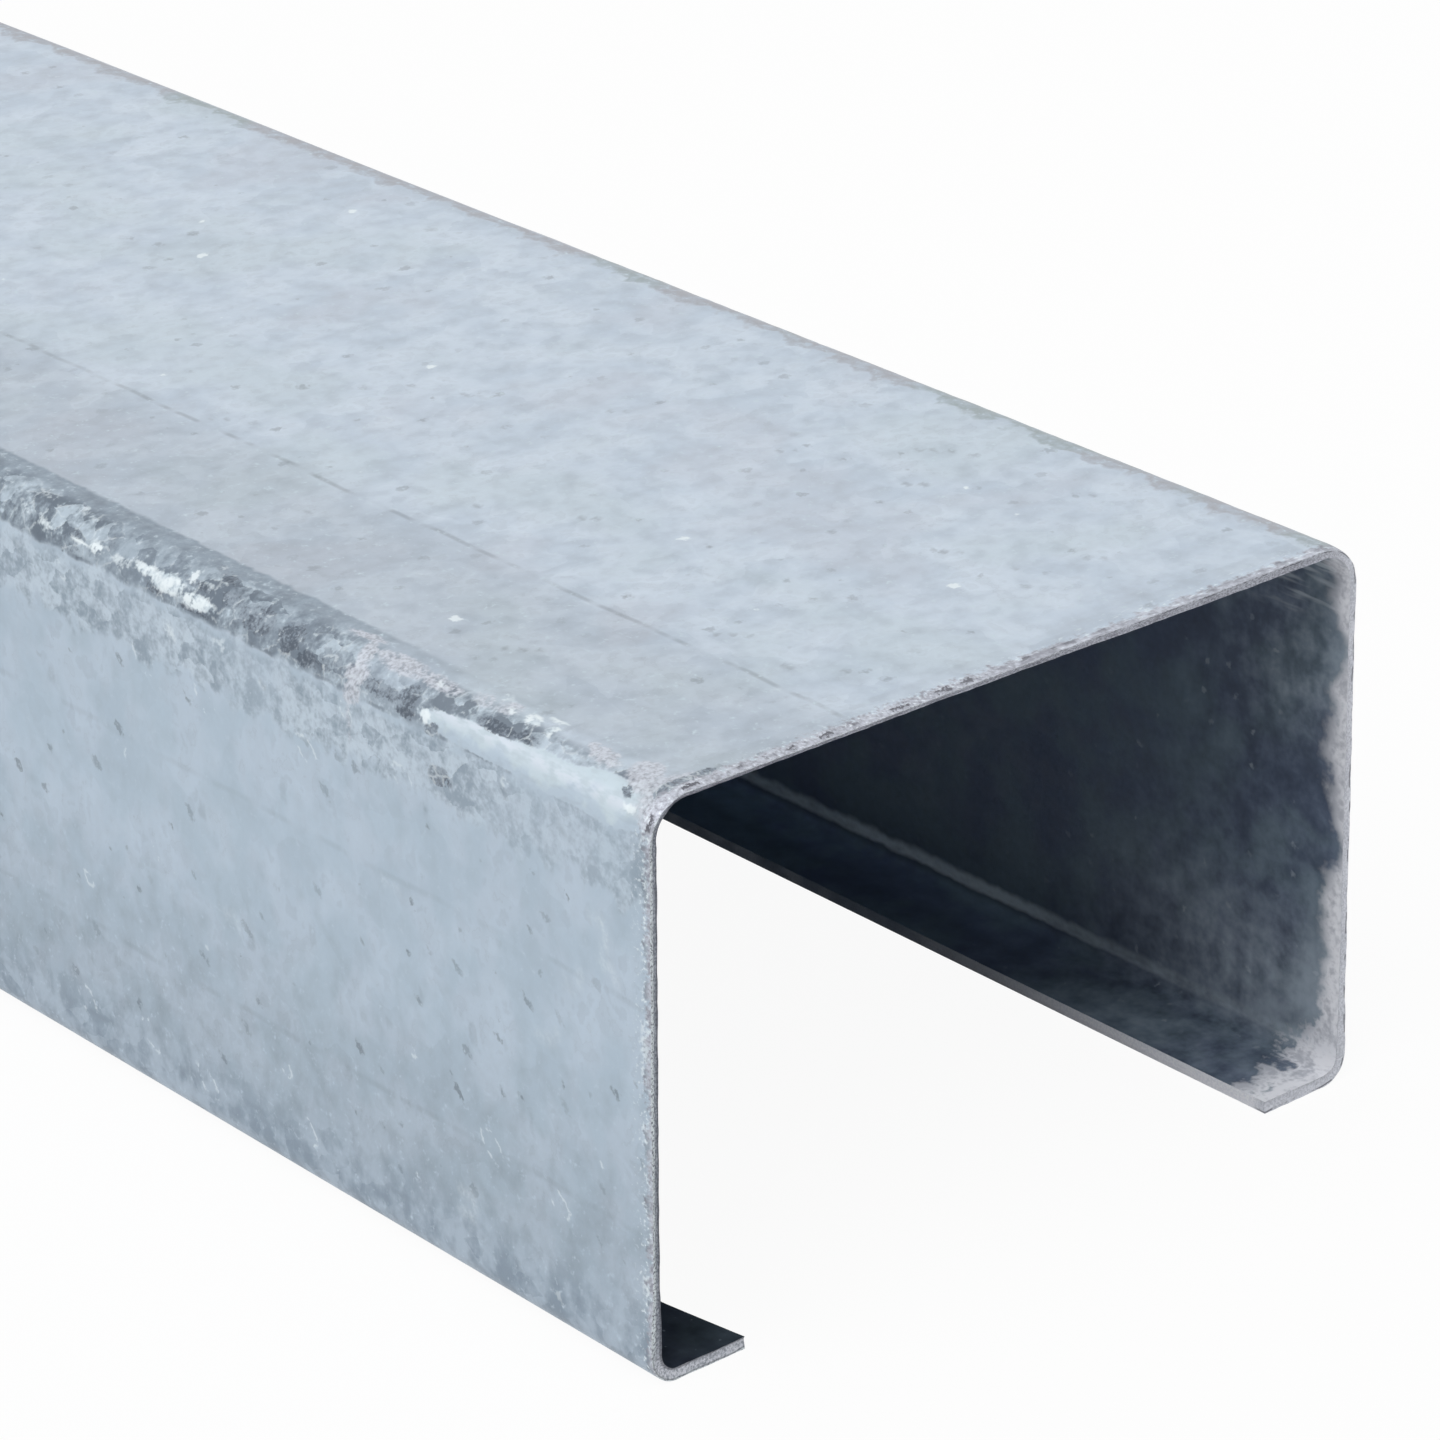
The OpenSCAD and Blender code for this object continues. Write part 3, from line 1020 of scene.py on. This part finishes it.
def sheared_steel():
    """The slit edges and the cuts: pale burnished steel, drawn out along the edge, with a broken
    dark line at its corners, a painted shadow line under the near lip, and painted shade that darkens
    the lips' slit edges away from the cut."""
    mat = Recipe(bpy.data.materials.new("sheared_steel"))
    along, across, through = mat.strip()
    from_cut = mat.from_cut(along)
    round_edge = across + along
    deep = through * SHEET
    streaks = mat.noise(mat.place(round_edge * 0.8, deep), 0.2 * MM, 3.0, 0.65)
    specks = mat.noise(mat.place(round_edge, deep), 0.2 * MM, 2.0, 0.6)
    patchy = mat.noise(mat.place(round_edge, deep), 3.0 * MM, 2.0)
    tone = streaks + specks + patchy * 0.5

    # The web's cut is speckled, the near flange's grey, and the far flange's and the lips' pale
    colour = mix(fade(tone, 1.02, 1.46), CUT_GREY, CUT_LIGHT)
    grey = mix(fade(tone, 1.0, 1.5), FLANGE_CUT_DARK, FLANGE_CUT_LIGHT)
    on_near_flange = window(across, -FLANGE_FOOT, -31.5 * MM, 1.5 * MM)
    colour = mix(on_near_flange * 0.85, colour, grey)
    smooth_grey = mix(fade(across, -1 * MM, 1 * MM), SMOOTH_NEAR, SMOOTH_FAR)
    smooth = mix(fade(tone, 1.0, 1.5), smooth_grey, SMOOTH_PALE)
    beyond = most(fade(across, 26 * MM, 32 * MM), fade(across, -69 * MM, -71 * MM))
    colour = mix(beyond * 0.85, colour, smooth)
    pale_corner = fall(through, 0.08, 0.26) * fade(across, -10 * MM, 10 * MM, 1.0, 0.1)
    pale_half = fall(through, 0.36, 0.58) * on_near_flange
    colour = mix(most(pale_corner, pale_half) * fade(specks, 0.34, 0.54), colour, RUN_WHITE)

    # Dark lines: a broken one near the outer corner, a painted shadow line under the near lip, and one
    # on the near side's inner corner
    wander = through + (patchy - 0.5) * 0.35
    broken = fade(mat.line_noise(across, 1.9 * MM, 7.0, 3.0), 0.46, 0.58)
    torn_and_lip_shadow_share = fade(across, 0.0, 22 * MM, 0.35, 0.95)
    # Along the near lip the line runs on as a painted shadow under the lip
    torn_and_lip_shadow_share = most(broken * torn_and_lip_shadow_share, fade(across, -68 * MM, -71 * MM, 0.0, 0.7))
    torn = window(wander, 0.08, 0.2, 0.05) * torn_and_lip_shadow_share
    inner_corner = fade(wander, 0.76, 0.92) * fade(across, -30 * MM, -20 * MM, 0.75, 0.15)
    colour = mix(most(torn, inner_corner) * 0.85, colour, CUT_DARK)

    # The lips' slit edges: duller by the outer corner, and darkened by painted shade further in from the
    # cut
    slit_tone = mix(fade(tone, 1.0, 1.5), SLIT_GREY, SLIT_PALE)
    dull_share = fade(wander, 0.44, 0.24, 0.0, 0.14) * fade(from_cut, 4 * MM, 12 * MM)
    slit_tone = mix(dull_share, slit_tone, SLIT_DULL)
    slit_tone_in_painted_shade = mix(fade(from_cut, 16 * MM, 40 * MM), slit_tone, SLIT_PAINTED_SHADE)
    colour = mix(fade(from_cut, 0.2 * MM, 1.5 * MM), colour, slit_tone_in_painted_shade)
    height = 0.06 * MM * streaks
    return mat.finish(colour, fade(patchy, 0.3, 0.7, 0.5, 0.65), height, metallic=0.0, gloss=0.15)


# -------- stage, light and camera


def seen_white(mat):
    """1 for rays that look at a thing directly, in a gloss or through glass, else 0."""
    path = mat.node("ShaderNodeLightPath").outputs
    seen = Amount(mat, path["Is Camera Ray"])
    return most(most(seen, path["Is Glossy Ray"]), path["Is Transmission Ray"])


def pale_floor():
    """A wide floor that looks white and keeps a light shadow."""
    half = 60.0
    mesh = bpy.data.meshes.new("floor")
    corners = [(-half, -half, 0), (half, -half, 0), (half, half, 0), (-half, half, 0)]
    mesh.from_pydata(corners, [], [(0, 1, 2, 3)])
    floor = bpy.data.objects.new("floor", mesh)
    bpy.context.scene.collection.objects.link(floor)
    mat = Recipe(bpy.data.materials.new("pale_floor"))
    plain = mat.node("ShaderNodeBsdfDiffuse")
    plain.inputs["Color"].default_value = (0.85, 0.85, 0.85, 1.0)
    white = mat.node("ShaderNodeEmission")
    shader = mat.blend(seen_white(mat) * 0.94, plain.outputs[0], white.outputs[0])
    mat.plug(mat.node("ShaderNodeOutputMaterial").inputs["Surface"], shader)
    mesh.materials.append(mat.owner)


def soft_light():
    """An even sky that looks white, and two broad lamps from above and the near side."""
    world = bpy.data.worlds.new("studio")
    bpy.context.scene.world = world
    sky = Recipe(world)
    dim, white = sky.node("ShaderNodeBackground"), sky.node("ShaderNodeBackground")
    dim.inputs["Color"].default_value = white.inputs["Color"].default_value = (1.0, 1.0, 1.0, 1.0)
    dim.inputs["Strength"].default_value = 0.38
    shader = sky.blend(seen_white(sky), dim.outputs[0], white.outputs[0])
    sky.plug(sky.node("ShaderNodeOutputWorld").inputs["Surface"], shader)
    for name, strength, width, aim in (
        ("key_lamp", 1.5, 44, (-0.10, 0.70, -1.0)),
        ("top_lamp", 0.54, 60, (-0.45, -0.2, -1.0)),
    ):
        lamp = bpy.data.lights.new(name, "SUN")
        lamp.energy = strength
        lamp.angle = math.radians(width)
        placed = bpy.data.objects.new(name, lamp)
        placed.rotation_mode = "QUATERNION"
        placed.rotation_quaternion = Vector(aim).to_track_quat("-Z", "Y")
        bpy.context.scene.collection.objects.link(placed)


def long_lens():
    """A long lens on the near cut, from beside the stud and above it."""
    azimuth, elevation, roll = math.radians(49.96), math.radians(24.4), math.radians(-1.14)
    target = Vector((HIGH[0], -0.393 * WIDTH, HIGH[2] + 0.0607 * WIDTH))
    distance = 5.829 * WIDTH
    level = math.cos(elevation)
    back = Vector((math.sin(azimuth) * level, -math.cos(azimuth) * level, math.sin(elevation)))
    lens = bpy.data.cameras.new("camera")
    lens.sensor_width = 36.0
    lens.lens = 150.15
    lens.clip_start = 0.01
    lens.clip_end = 200.0
    camera = bpy.data.objects.new("camera", lens)
    turn = (-back).to_track_quat("-Z", "Y").to_matrix() @ Matrix.Rotation(roll, 3, "Z")
    camera.matrix_world = Matrix.Translation(target + back * distance) @ turn.to_4x4()
    bpy.context.scene.collection.objects.link(camera)
    bpy.context.scene.camera = camera


bpy.context.scene.view_settings.view_transform = "Standard"
long_lens()
pale_floor()
soft_light()

stud = build_stud()
for finish in (outer_zinc(), inner_zinc(), sheared_steel()):
    stud.data.materials.append(finish)
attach(stud, "root")
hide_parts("stud")
